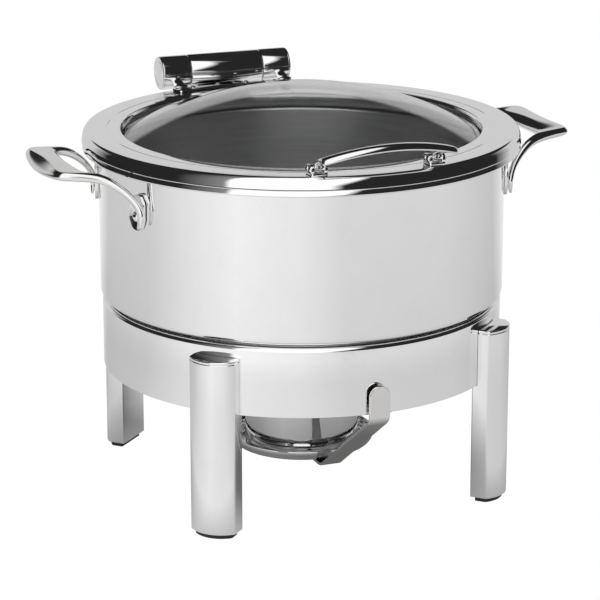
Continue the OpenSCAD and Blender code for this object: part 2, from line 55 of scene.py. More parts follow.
BODY_R = 192.0          # outside of the water pan
BODY_Z0 = 184.0
LIP_Z1 = 332.0          # top of the water pan's lip
SHEET = 1.2
FOOD_R = 170.0
FOOD_Z0 = 205.0
FOOD_Z1 = 325.0         # top of the food pan's flange
SKIRT_R = 190.5
SKIRT_Z0 = 116.2
SKIRT_Z1 = 182.0
LEG_TOP = 170.0
LID_TOP = 343.2         # flat of the lid ring
WINDOW_R = 169.6
DOME_R = 348.0
DOME_C = 32.0           # height of the dome's centre of curvature
GLASS_T = 3.8
GLASS_EDGE = 174.0
HINGE_Y = 222.0
HINGE_Z = 355.0
BARREL_R = 17.0
PLATE_Z = 345.8         # top of the hinge plate
PAD_ANGLE = 18.3
BLADE_IN = 227.5        # carrying handle's blade: straight inner edge,
BLADE_OUT = 256.2       # corners of its outer edge,
BLADE_BOW = 6.5         # how far that edge bows past them
GRIP_R = 260.3
RIVET_Z = 286.5
FOOT_X = 56.2           # lid handle's feet, either side of the middle
FOOT_Y = -187.0
HANDLE_X = -1.8         # the lid handle sits a little to the left
GRIP_X = 2.6            # and its grip a little to the right of that
TRAY_Z = 30.0
CUP_R = 55.0
RAIL_Z = 96.0
SIDES = (-1, 1)
LEG_ANGLES = {"front_left": -135, "front_right": -45, "rear_left": 135, "rear_right": 45}


# ---- Places ----
def turn_z(degrees):
    return Matrix.Rotation(math.radians(degrees), 4, "Z")


def at(x, y, z):
    return Matrix.Translation((x, y, z))


# Lays a shape drawn about Z along +X
ALONG_X = Matrix(((0, 0, 1, 0), (1, 0, 0, 0), (0, 1, 0, 0), (0, 0, 0, 1)))
ON_HINGE = at(0, HINGE_Y, HINGE_Z) @ ALONG_X


# ---- Making meshes ----
def join(bm, part, place=Matrix()):
    """Close and square up one shell, put it in place and add it to a piece's mesh."""
    bmesh.ops.remove_doubles(part, verts=part.verts, dist=0.0005)
    bmesh.ops.recalc_face_normals(part, faces=part.faces)
    bmesh.ops.transform(part, matrix=place, verts=part.verts)
    if place.determinant() < 0:
        bmesh.ops.reverse_faces(part, faces=part.faces)
    loose = bpy.data.meshes.new("loose")
    part.to_mesh(loose)
    part.free()
    bm.from_mesh(loose)
    bpy.data.meshes.remove(loose)


def outline_face(part, outline, upright=False, height=0.0):
    """A flat face from corners (across, up, rounding); a third number rounds that corner."""
    corners = []
    for corner in outline:
        place = (corner[0], 0, corner[1]) if upright else (corner[0], corner[1], height)
        corners.append(part.verts.new(place))
    part.faces.new(corners)
    count = len(outline)
    for i, corner in enumerate(outline):
        if len(corner) < 3:
            continue
        here = Vector(corner[:2])
        before = Vector(outline[i - 1][:2]) - here
        after = Vector(outline[(i + 1) % count][:2]) - here
        angle = before.angle(after)
        if math.pi - angle < 0.02:
            continue
        steps = 3 if corner[2] < 1.5 else 6 if corner[2] < 4 else 10
        bmesh.ops.bevel(part, geom=[corners[i]], offset=corner[2] / math.tan(angle / 2),
                        affect="VERTICES", segments=steps, profile=0.5, material=-1)
    return part.faces[:][0]


def turned(bm, outline, steps=144, place=Matrix()):
    """Spin an outline of (radius, height, rounding) about Z."""
    part = bmesh.new()
    outline_face(part, outline, upright=True)
    bmesh.ops.delete(part, geom=part.faces[:], context="FACES_ONLY")
    axis = [e for e in part.edges if all(abs(v.co.x) < 1e-5 for v in e.verts)]
    if axis:
        bmesh.ops.delete(part, geom=axis, context="EDGES")
    bmesh.ops.spin(part, geom=part.verts[:] + part.edges[:], cent=(0, 0, 0), axis=(0, 0, 1),
                   angle=2 * math.pi, steps=steps, use_merge=True)
    join(bm, part, place)


def soften(part, size, segments=2, least=30):
    """Bevel every edge that turns by more than the given angle."""
    part.normal_update()
    sharp = [e for e in part.edges
             if len(e.link_faces) == 2 and e.calc_face_angle(0) > math.radians(least)]
    bmesh.ops.bevel(part, geom=sharp, offset=size, affect="EDGES", segments=segments,
                    profile=0.5, material=-1, clamp_overlap=True)


def slab(outline, z0, z1, edge=0.0, segments=2):
    """An outline of (x, y, rounding) raised from z0 to z1, with softened edges."""
    part = bmesh.new()
    face = outline_face(part, outline, height=z0)
    raised = bmesh.ops.extrude_face_region(part, geom=[face])["geom"]
    bmesh.ops.translate(part, vec=(0, 0, z1 - z0),
                        verts=[g for g in raised if isinstance(g, bmesh.types.BMVert)])
    if edge:
        soften(part, edge, segments)
    return part


def lofted(bm, rings, place=Matrix()):
    """Bridge a row of closed rings of points and close both ends."""
    part = bmesh.new()
    bands = []
    for ring in rings:
        verts = [part.verts.new(p) for p in ring]
        bands.append([part.edges.new((verts[i - 1], verts[i])) for i in range(len(verts))])
    for a, b in zip(bands, bands[1:]):
        bmesh.ops.bridge_loops(part, edges=a + b)
    for band in (bands[0], bands[-1]):
        bmesh.ops.contextual_create(part, geom=band)
    join(bm, part, place)


def soft_ring(centre, across, up, width, depth):
    """Ten points about a centre, which subdivision rounds to a soft oblong."""
    w, d = width / 2, depth / 2
    spots = ((-1, -0.42), (-1, 0.42), (-0.5, 0.96), (0, 1), (0.5, 0.96), (1, 0.42), (1, -0.42), (0.5, -0.96),
             (0, -1), (-0.5, -0.96))
    return [Vector(centre) + Vector(across) * (w * a) + Vector(up) * (d * b) for a, b in spots]


def domed_head(radius, height, socket=0.0):
    """Outline of a domed rivet or screw head, its flat side at 0."""
    big = (radius * radius + height * height) / (2 * height)
    rim = [(0, height * 0.35), (socket, height * 0.35)] if socket else []
    for i in range(9):
        r = socket + (radius - socket) * i / 8
        rim.append((r, height - big + math.sqrt(big * big - r * r)))
    rim[-1] = (radius, 0.0)
    return [(0, -0.3)] + [(radius, -0.3)] + rim[::-1]


def piece(name, bm, body, finish, nodes=(), levels=0, sharp=38):
    """Turn a finished mesh into an object on its body, in its finish."""
    bmesh.ops.transform(bm, matrix=TO_FRAME, verts=bm.verts)
    mesh = bpy.data.meshes.new(name)
    bm.to_mesh(mesh)
    bm.free()
    mesh.polygons.foreach_set("use_smooth", [True] * len(mesh.polygons))
    mesh.set_sharp_from_angle(angle=math.radians(sharp))
    mesh.materials.append(finish)
    obj = bpy.data.objects.new(name, mesh)
    bpy.context.scene.collection.objects.link(obj)
    if levels:
        smooth = obj.modifiers.new("smooth form", "SUBSURF")
        smooth.levels = smooth.render_levels = levels
    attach(obj, body)
    if nodes:
        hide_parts(*nodes)
    return obj


# ---- Finishes ----
class Nodes:
    """A small helper to wire a shader or a group."""

    def __init__(self, tree):
        self.tree = tree

    def add(self, kind, **values):
        node = self.tree.nodes.new(kind)
        for key, value in values.items():
            setattr(node, key, value)
        return node

    def wire(self, a, b):
        self.tree.links.new(a, b)

    def maths(self, operation, a, b=None, clamp=False):
        node = self.add("ShaderNodeMath", operation=operation, use_clamp=clamp)
        for socket, value in zip(node.inputs, (a, b)):
            if value is None:
                continue
            if isinstance(value, (int, float)):
                socket.default_value = value
            else:
                self.wire(value, socket)
        return node.outputs[0]


def new_group(name, inputs, outputs):
    tree = bpy.data.node_groups.new(name, "ShaderNodeTree")
    for label, kind, value in inputs:
        socket = tree.interface.new_socket(name=label, in_out="INPUT", socket_type=kind)
        if value is not None:
            socket.default_value = value
    for label, kind in outputs:
        tree.interface.new_socket(name=label, in_out="OUTPUT", socket_type=kind)
    n = Nodes(tree)
    return n, n.add("NodeGroupInput").outputs, n.add("NodeGroupOutput").inputs


def noise(n, vector, scale, detail=3.0, rough=0.55):
    node = n.add("ShaderNodeTexNoise")
    node.inputs["Detail"].default_value = detail
    node.inputs["Roughness"].default_value = rough
    if isinstance(scale, (int, float)):
        node.inputs["Scale"].default_value = scale
    else:
        n.wire(scale, node.inputs["Scale"])
    n.wire(vector, node.inputs["Vector"])
    return node.outputs["Fac"]


def map_range(n, value, low, high, to_low, to_high):
    node = n.add("ShaderNodeMapRange")
    for label, number in (("From Min", low), ("From Max", high), ("To Min", to_low), ("To Max", to_high)):
        node.inputs[label].default_value = number
    n.wire(value, node.inputs["Value"])
    return node.outputs["Result"]


def handling_marks():
    """Faint finger smears and wiping marks left on bright steel."""
    n, given, out = new_group("handling marks",
                              [("Place", "NodeSocketVector", None), ("Size", "NodeSocketFloat", 22.0)],
                              [("Smear", "NodeSocketFloat"), ("Waviness", "NodeSocketFloat")])
    broad = noise(n, given["Place"], given["Size"], 4.0, 0.6)
    fine = noise(n, given["Place"], n.maths("MULTIPLY", given["Size"], 7.0), 3.0, 0.7)
    both = n.maths("MULTIPLY", map_range(n, broad, 0.42, 0.72, 0, 1), map_range(n, fine, 0.35, 0.7, 0.3, 1))
    n.wire(both, out["Smear"])
    n.wire(noise(n, given["Place"], n.maths("MULTIPLY", given["Size"], 0.35), 1.0, 0.4), out["Waviness"])
    return n.tree


def turned_grain():
    """Fine rings of a brushed finish, running round the vessel's axis."""
    n, given, out = new_group("turned grain",
                              [("Place", "NodeSocketVector", None), ("Fineness", "NodeSocketFloat", 900.0)],
                              [("Grain", "NodeSocketFloat")])
    split = n.add("ShaderNodeSeparateXYZ")
    n.wire(given["Place"], split.inputs[0])
    x, y, z = split.outputs
    radius = n.maths("SQRT", n.maths("ADD", n.maths("MULTIPLY", x, x), n.maths("MULTIPLY", y, y)))
    along = n.maths("ARCTAN2", y, x)
    grain = n.add("ShaderNodeCombineXYZ")
    n.wire(n.maths("MULTIPLY", radius, given["Fineness"]), grain.inputs[0])
    n.wire(n.maths("MULTIPLY", along, 2.2), grain.inputs[1])
    n.wire(n.maths("MULTIPLY", z, given["Fineness"]), grain.inputs[2])
    n.wire(noise(n, grain.outputs[0], 1.0, 2.0, 0.6), out["Grain"])
    return n.tree


def dust():
    """Pale dust and scuffs that settle on rubber and plastic."""
    n, given, out = new_group("dust",
                              [("Place", "NodeSocketVector", None), ("Amount", "NodeSocketFloat", 0.4)],
                              [("Dust", "NodeSocketFloat"), ("Pebble", "NodeSocketFloat")])
    speck = noise(n, given["Place"], 420.0, 5.0, 0.7)
    patch = noise(n, given["Place"], 34.0, 3.0, 0.5)
    mask = n.maths("MULTIPLY", map_range(n, speck, 0.5, 0.75, 0, 1), map_range(n, patch, 0.35, 0.65, 0, 1))
    n.wire(n.maths("MULTIPLY", mask, given["Amount"]), out["Dust"])
    n.wire(noise(n, given["Place"], 900.0, 2.0, 0.5), out["Pebble"])
    return n.tree


MARKS = handling_marks()
GRAIN = turned_grain()
DUST = dust()


def new_finish(name):
    """A material with its own shader and a place read from the piece, centred on the vessel's axis."""
    material = bpy.data.materials.new(name)
    material.use_nodes = True
    tree = material.node_tree
    tree.nodes.clear()
    n = Nodes(tree)
    shader = n.add("ShaderNodeBsdfPrincipled")
    surface = n.add("ShaderNodeOutputMaterial")
    n.wire(shader.outputs[0], surface.inputs["Surface"])
    place = n.add("ShaderNodeMapping")
    place.inputs["Location"].default_value = (0, -AXIS_Y, 0)
    n.wire(n.add("ShaderNodeTexCoord").outputs["Object"], place.inputs["Vector"])
    return material, n, shader, place.outputs[0]


def use_group(n, tree, place, **values):
    node = n.add("ShaderNodeGroup", node_tree=tree)
    n.wire(place, node.inputs["Place"])
    for label, value in values.items():
        node.inputs[label].default_value = value
    return node.outputs


def bump(n, shader, height, strength, distance):
    node = n.add("ShaderNodeBump")
    node.inputs["Strength"].default_value = strength
    node.inputs["Distance"].default_value = distance
    n.wire(height, node.inputs["Height"])
    n.wire(node.outputs[0], shader.inputs["Normal"])


def ramp(n, value, *stops):
    node = n.add("ShaderNodeValToRGB")
    first, last = node.color_ramp.elements[0], node.color_ramp.elements[-1]
    for element, (spot, colour) in zip((first, last), (stops[0], stops[-1])):
        element.position, element.color = spot, (*colour, 1)
    for spot, colour in stops[1:-1]:
        node.color_ramp.elements.new(spot).color = (*colour, 1)
    n.wire(value, node.inputs[0])
    return node.outputs["Color"]


def bright_steel(name, low, high, tint=(0.93, 0.93, 0.935), wave=0.05):
    """Mirror-polished stainless steel with handling marks and a trace of sheet waviness."""
    material, n, shader, place = new_finish(name)
    shader.inputs["Metallic"].default_value = 1.0
    marks = use_group(n, MARKS, place, Size=22.0)
    n.wire(map_range(n, marks["Smear"], 0, 1, low, high), shader.inputs["Roughness"])
    dull = tuple(c * 0.965 for c in tint)
    n.wire(ramp(n, marks["Smear"], (0.0, tint), (1.0, dull)), shader.inputs["Base Color"])
    bump(n, shader, marks["Waviness"], wave, 0.002)
    return material


def brushed_steel(name, tint, rough, strength, fineness=900.0):
    """Satin stainless steel, brushed round the axis."""
    material, n, shader, place = new_finish(name)
    shader.inputs["Metallic"].default_value = 1.0
    grain = use_group(n, GRAIN, place, Fineness=fineness)["Grain"]
    marks = use_group(n, MARKS, place, Size=14.0)
    rougher = n.maths("ADD", map_range(n, grain, 0.3, 0.7, rough - 0.06, rough + 0.08),
                      n.maths("MULTIPLY", marks["Smear"], 0.06))
    n.wire(rougher, shader.inputs["Roughness"])
    dull = tuple(c * 0.86 for c in tint)
    n.wire(ramp(n, grain, (0.32, dull), (0.68, tint)), shader.inputs["Base Color"])
    bump(n, shader, grain, strength, 0.0002)
    return material


def clear_glass_finish():
    """Tempered glass; light passes it unbent so that the pan below stays lit."""
    material, n, shader, place = new_finish("clear tempered glass")
    shader.inputs["Base Color"].default_value = (0.975, 0.978, 0.977, 1)
    shader.inputs["Transmission Weight"].default_value = 1.0
    shader.inputs["IOR"].default_value = 1.5
    marks = use_group(n, MARKS, place, Size=16.0)
    n.wire(map_range(n, marks["Smear"], 0, 1, 0.0, 0.045), shader.inputs["Roughness"])
    clear = n.add("ShaderNodeBsdfTransparent")
    clear.inputs[0].default_value = (0.94, 0.945, 0.944, 1)
    mix = n.add("ShaderNodeMixShader")
    n.wire(n.add("ShaderNodeLightPath").outputs["Is Shadow Ray"], mix.inputs[0])
    n.wire(shader.outputs[0], mix.inputs[1])
    n.wire(clear.outputs[0], mix.inputs[2])
    surface = next(x for x in n.tree.nodes if x.type == "OUTPUT_MATERIAL")
    n.wire(mix.outputs[0], surface.inputs["Surface"])
    return material


def dark_finish(name, tint, rough, amount, pebble):
    """Black rubber or moulded plastic with a fine pebble and settled dust."""
    material, n, shader, place = new_finish(name)
    signs = use_group(n, DUST, place, Amount=amount)
    n.wire(ramp(n, signs["Dust"], (0.0, tint), (1.0, (0.20, 0.19, 0.18))), shader.inputs["Base Color"])
    n.wire(map_range(n, signs["Dust"], 0, 1, rough, 0.85), shader.inputs["Roughness"])
    bump(n, shader, signs["Pebble"], pebble, 0.0003)
    return material


POLISHED = bright_steel("mirror polished steel", 0.045, 0.12)
FORMED = bright_steel("polished cast handle steel", 0.06, 0.14, (0.84, 0.835, 0.83), 0.08)
PAN_SATIN = brushed_steel("brushed pan steel", (0.77, 0.77, 0.775), 0.34, 0.25)
RAIL_SATIN = brushed_steel("satin bracket steel", (0.66, 0.66, 0.67), 0.3, 0.2, 600.0)
STRAP_STEEL = bright_steel("worn strap steel", 0.14, 0.24, (0.82, 0.812, 0.80), 0.12)
GLASS = clear_glass_finish()
RUBBER = dark_finish("black rubber", (0.016, 0.016, 0.017), 0.55, 0.45, 0.35)
PALE_RUBBER = dark_finish("pale gasket rubber", (0.62, 0.62, 0.61), 0.5, 0.2, 0.3)
PLASTIC = dark_finish("moulded damper plastic", (0.03, 0.03, 0.032), 0.4, 0.3, 0.15)


# ---- Stand ----
def make_skirt():
    bm = bmesh.new()
    turned(bm, [(SKIRT_R, SKIRT_Z0, 0.5), (SKIRT_R, SKIRT_Z1, 3.9), (183, SKIRT_Z1, 0.6),
                (181.5, 179.8, 0.4), (152.5, 179.8, 1.4), (152.5, 170.8), (154, 170.8),
                (154, 178.3, 0.5), (182.5, 178.3), (184, 180.5), (189, 180.5, 2.4),
                (189, SKIRT_Z0 + 1.6), (187.5, SKIRT_Z0 + 1.6, 0.4), (187.5, SKIRT_Z0, 0.4)], 192)
    piece("rolled_skirt", bm, "stand", POLISHED, ["stand_skirt"])


def leg_outline(inset, hollow):
    """D-shaped outline of a leg; hollow follows the skirt's wall behind it."""
    arc = 29.345 - inset
    half = 22.5 - inset
    centre = SKIRT_R + 20 - 29.345
    end = math.asin(half / arc)
    points = []
    for i in range(25):
        a = -end + 2 * end * i / 24
        spot = (centre + arc * math.cos(a), arc * math.sin(a))
        points.append(spot + (3.6,) if i in (0, 24) else spot)
    if hollow:
        wall = SKIRT_R + 0.2 + inset
        side = math.asin(half / wall)
        for i in range(9):
            a = side * (1 - i / 4)
            points.append((wall * math.cos(a), wall * math.sin(a)))
    else:
        points += [(SKIRT_R - 6.5 + inset, half, 1.2), (SKIRT_R - 6.5 + inset, -half, 1.2)]
    return points


def make_leg(name, angle):
    bm = bmesh.new()
    split = SKIRT_Z0 - 0.4
    join(bm, slab(leg_outline(0, False), 5, split), turn_z(angle))
    join(bm, slab(leg_outline(0, True), split - 0.01, LEG_TOP - 3.4), turn_z(angle))
    join(bm, slab(leg_outline(0.9, True), LEG_TOP - 3.5, LEG_TOP - 2.7), turn_z(angle))
    join(bm, slab(leg_outline(0, True), LEG_TOP - 2.8, LEG_TOP, 0.7, 3), turn_z(angle))
    piece(name + "_leg", bm, "stand", POLISHED, ["leg_" + name])
    bm = bmesh.new()
    join(bm, slab(leg_outline(3.6, False), 0, 5.0, 0.9, 3), turn_z(angle))
    piece(name + "_rubber_foot", bm, "stand", RUBBER, ["foot_" + name])


# ---- Fuel holder ----
def make_fuel_holder():
    flange = RAIL_Z + 2.2
    bm = bmesh.new()
    turned(bm, [(0, 31.3), (CUP_R, 31.3, 4), (CUP_R, flange, 0.8), (72, flange, 0.5), (72, flange + 1.3, 0.5),
                (CUP_R + 0.6, flange + 1.3, 0.6), (CUP_R + 0.6, 104.2, 0.6), (CUP_R - 1, 104.2, 0.6),
                (CUP_R - 1, 32.3, 3), (0, 32.3)], 128)
    piece("turned_fuel_cup", bm, "fuel_holder", POLISHED, ["fuel_cup"])
    bm = bmesh.new()
    turned(bm, [(0, TRAY_Z), (70, TRAY_Z, 9), (70, 40.5, 0.5), (68.8, 40.5, 0.5), (68.8, 31.2, 7.8),
                (0, 31.2)], 128)
    piece("spun_drip_tray", bm, "fuel_holder", POLISHED, ["drip_tray"])
    make_strap()
    bm = bmesh.new()
    for s in SIDES:
        turned(bm, domed_head(2.8, 1.2), 24, at(s * 5, -48, TRAY_Z - 2.75) @ Matrix.Rotation(math.pi, 4, "X"))
        turned(bm, domed_head(2.4, 0.8), 24, at(s * 5, -48, TRAY_Z + 1.25))
    piece("strap_rivet_heads", bm, "fuel_holder", RAIL_SATIN, ["strap_rivets"])


def strap_ring(y, z, lean, width, thick=2.6, edge=0.5):
    """Section of the strap, square to a direction that leans from level (0) to upright (90)."""
    a = math.radians(lean)
    across = Vector((0, -math.sin(a), -math.cos(a)))
    w, t = width / 2, thick / 2
    spots = ((-w, -t + edge), (-w, t - edge), (-w + edge, t), (w - edge, t), (w, t - edge), (w, -t + edge),
             (w - edge, -t), (-w + edge, -t))
    return [Vector((u, y, z)) + across * v for u, v in spots]


def make_strap():
    """One bent strip: a foot under the tray, a slope and an upright tab with a round top."""
    heel, knee = Vector((-74.0, 28.6)), Vector((-SKIRT_R - 4.9, 110.9))
    slope = math.degrees(math.atan2(knee.y - heel.y, heel.x - knee.x))
    way = (knee - heel).normalized()
    rings = [strap_ring(-40, 28.6, 0, 20), strap_ring(heel.x + 5, 28.6, 0, 20)]
    rings += [strap_ring(*(heel + way * 1.6 + Vector((0.9, 0.1))), slope * 0.5, 20),
              strap_ring(*(heel + way * 5), slope, 20), strap_ring(*(knee - way * 7), slope, 20)]
    for i in (1, 2, 3):
        t = i / 4
        spot = (knee - way * 7) * (1 - t) ** 2 + knee * (2 * t * (1 - t)) + (knee + Vector((0, 7))) * t * t
        rings.append(strap_ring(*spot, slope + (90 - slope) * t, 20))
    rings.append(strap_ring(knee.x, knee.y + 7, 90, 20))
    for i in range(13):
        a = math.radians(90 * i / 12.3)
        rings.append(strap_ring(knee.x, 134 + 10 * math.sin(a), 90, 20 * math.cos(a), 2.6, 0.5 * math.cos(a)))
    bm = bmesh.new()
    lofted(bm, rings)
    piece("bent_pull_strap", bm, "fuel_holder", STRAP_STEEL, ["pull_strap"])


# ---- Vessel ----
def make_vessel():
    inside = BODY_R - SHEET
    bm = bmesh.new()
    turned(bm, [(0, BODY_Z0), (BODY_R, BODY_Z0, 6), (BODY_R, 325.6, 1.0), (200.5, 326.2, 1.0),
                (202.2, 325, 0.8), (207.2, 325.2, 1.5), (205.2, LIP_Z1 - 0.05, 2.4),
                (inside, LIP_Z1 - 0.05, 0.5),
                (inside, BODY_Z0 + SHEET, 4.8), (0, BODY_Z0 + SHEET)], 192)
    piece("spun_water_pan", bm, "chafer", POLISHED, ["water_pan"])
    bm = bmesh.new()
    turned(bm, [(0, FOOD_Z0), (FOOD_R, FOOD_Z0, 14), (FOOD_R, FOOD_Z1 - SHEET, 1.4),
                (inside - 0.1, FOOD_Z1 - SHEET), (inside - 0.1, FOOD_Z1),
                (FOOD_R - SHEET, FOOD_Z1, 2.6), (FOOD_R - SHEET, FOOD_Z0 + SHEET, 12.8),
                (0, FOOD_Z0 + SHEET)], 160)
    piece("drawn_food_pan", bm, "chafer", PAN_SATIN, ["food_pan"])


def blade_ring(inner, outer, full):
    """Section across a carrying handle's blade; full is 1 in its middle and 0 at its corners."""
    spots = ((0.02 + 0.08 * full, 323.0 - 2.4 * full), (0, 326.0 - 1.8 * full),
             (0.06 + 0.14 * full, 328.6 + 1.9 * full), (0.12 + 0.14 * full, 329.8 + 1.9 * full),
             (0.90 - 0.30 * full, 331.7 + 0.4 * full), (0.95 - 0.28 * full, 331.3 + 0.3 * full),
             (1, 329.0 - 3.6 * full), (0.975, 324.6 - 3.4 * full), (0.66, 322.6 - 3.8 * full),
             (0.24, 322.4 - 3.2 * full))
    a, b = Vector(inner), Vector(outer)
    return [Vector((*(a + (b - a) * r), z)) for r, z in spots]


def make_side_handle(name, turn):
    """Wide blade and two bowed arms in one casting, with a dished pad at each end."""
    half = []
    for a in (0, 3.4, 6.6, 9.0):
        spoke = Vector((math.cos(math.radians(a)), math.sin(math.radians(a))))
        full = 1 - (a / 11.6) ** 2
        outer = (BLADE_OUT + BLADE_BOW * full, GRIP_R * spoke.y)
        half.append(blade_ring(spoke * (BLADE_IN / spoke.x), outer, full))
    half.append(blade_ring((227.6, 44.6), (BLADE_OUT, 52.4), 0.16))
    half.append(blade_ring((225.0, 49.2), (249.0, 56.2), 0.04))
    # centre, direction, width, depth and turn of each section of the arm, from blade to pad
    arm = [((219.5, 57.0, 325.0), (-0.95, 0.06, -0.2), 9.0, 8.8, 3),
           ((209.0, 60.2, 320.9), (-0.87, 0.1, -0.46), 8.8, 8.4, 8),
           ((199.8, 63.8, 314.4), (-0.74, 0.2, -0.62), 9.0, 7.8, 13),
           ((191.6, 68.0, 306.4), (-0.6, 0.25, -0.74), 9.0, 7.0, 18),
           ((186.0, 71.8, 298.6), (-0.35, 0.2, -0.9), 8.6, 6.2, 20),
           ((183.9, 73.8, 290.4), (-0.12, 0.05, -0.99), 7.8, 5.6, 20),
           ((184.4, 73.2, 281.6), (-0.05, -0.2, -0.96), 6.6, 4.4, 19),
           ((186.0, 70.4, 276.4), (-0.05, -0.5, -0.85), 4.0, 2.4, 18)]
    for centre, way, width, depth, turned_by in arm:
        way = Vector(way).normalized()
        b = math.radians(turned_by)
        across = Vector((-math.sin(b), math.cos(b), 0.0))
        up = across.cross(way)
        if up.z < 0:
            up = -up
        half.append(soft_ring(centre, across, up, width, depth))
    mirror = Matrix.Scale(-1, 4, (0, 1, 0))
    rings = [[mirror @ p for p in ring] for ring in half[:0:-1]] + half
    bm = bmesh.new()
    lofted(bm, rings, turn_z(turn))
    piece(name + "_handle_grip", bm, "chafer", FORMED, ["side_handle_" + name],
          levels=3, sharp=180)
    bm = bmesh.new()
    for a in (-PAD_ANGLE, PAD_ANGLE):
        o = math.copysign(1, a)         # outwards, away from the middle of the handle
        part = slab([(-9 * o, -2, 7), (-9 * o, 9, 6), (-4 * o, 19, 5), (7 * o, 22, 5), (12.5 * o, 14, 8),
                     (12.5 * o, -3, 9), (8 * o, -12.5, 8), (-4 * o, -12.5, 7)], 0, 3.9)
        part.normal_update()
        front = max(part.faces, key=lambda f: f.calc_center_median().z)
        bmesh.ops.inset_region(part, faces=[front], thickness=3.4, use_even_offset=True)
        bmesh.ops.translate(part, verts=front.verts[:], vec=(0, 0, -2.2))
        soften(part, 1.0, 4, 35)
        join(bm, part, turn_z(turn + a) @ at(BODY_R + 0.3, 0, RIVET_Z) @ ALONG_X)
    piece(name + "_handle_pads", bm, "chafer", FORMED, ["side_handle_" + name])


def make_handle_rivets():
    bm = bmesh.new()
    for base in (0, 180):
        for a in (-PAD_ANGLE, PAD_ANGLE):
            turned(bm, domed_head(4.9, 3.2), 40,
                   turn_z(base + a) @ at(BODY_R + 2.1, 0, RIVET_Z) @ ALONG_X)
            turned(bm, [(0, 0), (5, 0, 0.4), (5, 1.5, 0.4), (0, 1.5)], 32,
                   turn_z(base + a) @ at(BODY_R - SHEET - 1.7, 0, RIVET_Z) @ ALONG_X)
    piece("domed_handle_rivets", bm, "chafer", POLISHED, ["handle_rivets"])


def make_hinge():
    bm = bmesh.new()
    turned(bm, [(5, -38), (BARREL_R, -38, 0.9), (BARREL_R, 38, 0.9), (5, 38), (5, 35), (15, 35), (15, -35),
                (5, -35)], 96, ON_HINGE)
    piece("hinge_middle_barrel", bm, "chafer", POLISHED, ["hinge_barrel"])
    for name, s in (("left", -1), ("right", 1)):
        flip = Matrix.Scale(s, 4, (0, 0, 1))
        bm = bmesh.new()
        turned(bm, [(5, 38.5), (BARREL_R, 38.5, 0.9), (BARREL_R, 66), (15, 66), (15, 42.5), (5, 42.5)], 96,
               ON_HINGE @ flip)
        piece(name + "_hinge_knuckle", bm, "lid", POLISHED, ["hinge_knuckle_" + name])
        middle = s * (38 + 28 * 0.62)
        ear = [(-11, -4.0, 10, 8, 60), (-17, -5.0, 10.5, 7.6, 50), (-21.5, -6.6, 11.5, 6.6, 45),
               (-26, -7.8, 13.5, 4.8, 60), (-31, -8.0, 15.5, 3.2, 84), (-35, -8.1, 15, 2.4, 90)]
        bm = bmesh.new()
        lofted(bm, [soft_ring((middle, HINGE_Y + y, HINGE_Z + z), (1, 0, 0),
                              (0, -math.cos(math.radians(lean)), math.sin(math.radians(lean))), w, d)
                    for y, z, w, d, lean in ear])
        piece(name + "_hinge_ear", bm, "lid", FORMED, ["hinge_knuckle_" + name],
              levels=2, sharp=180)
        bm = bmesh.new()
        cap_r = BARREL_R - 0.2
        turned(bm, [(0, 64), (14.8, 64), (14.8, 66.05), (cap_r, 66.05, 0.3), (cap_r, 68, 0.8), (12.6, 68),
                    (12.3, 67.6), (12.0, 68), (0, 68)], 72, ON_HINGE @ flip)
        piece(name + "_hinge_end_cap", bm, "lid", POLISHED, ["hinge_cap_" + name])
    bm = bmesh.new()
    edge = []
    for r, steps in ((186, range(-19, 20)), (201.5, range(19, -20, -1))):
        for a in steps:
            spot = (r * math.sin(math.radians(a)), r * math.cos(math.radians(a)))
            edge.append(spot + (3.0,) if a in (-19, 19) else spot)
    join(bm, slab(edge, LID_TOP + 0.1, PLATE_Z, 1.15, 4))
    piece("curved_hinge_plate", bm, "lid", POLISHED, ["hinge_plate"])
    bm = bmesh.new()
    for a in (77, 85.7, 94.3, 103):
        turned(bm, domed_head(3.0, 1.5, 1.2), 32, turn_z(a) @ at(193.5, 0, PLATE_Z + 0.05))
    piece("hinge_plate_screws", bm, "lid", POLISHED, ["hinge_screws"])


# ---- Lid ----
def dome_height(x, radius):
    return DOME_C + math.sqrt(radius * radius - x * x)


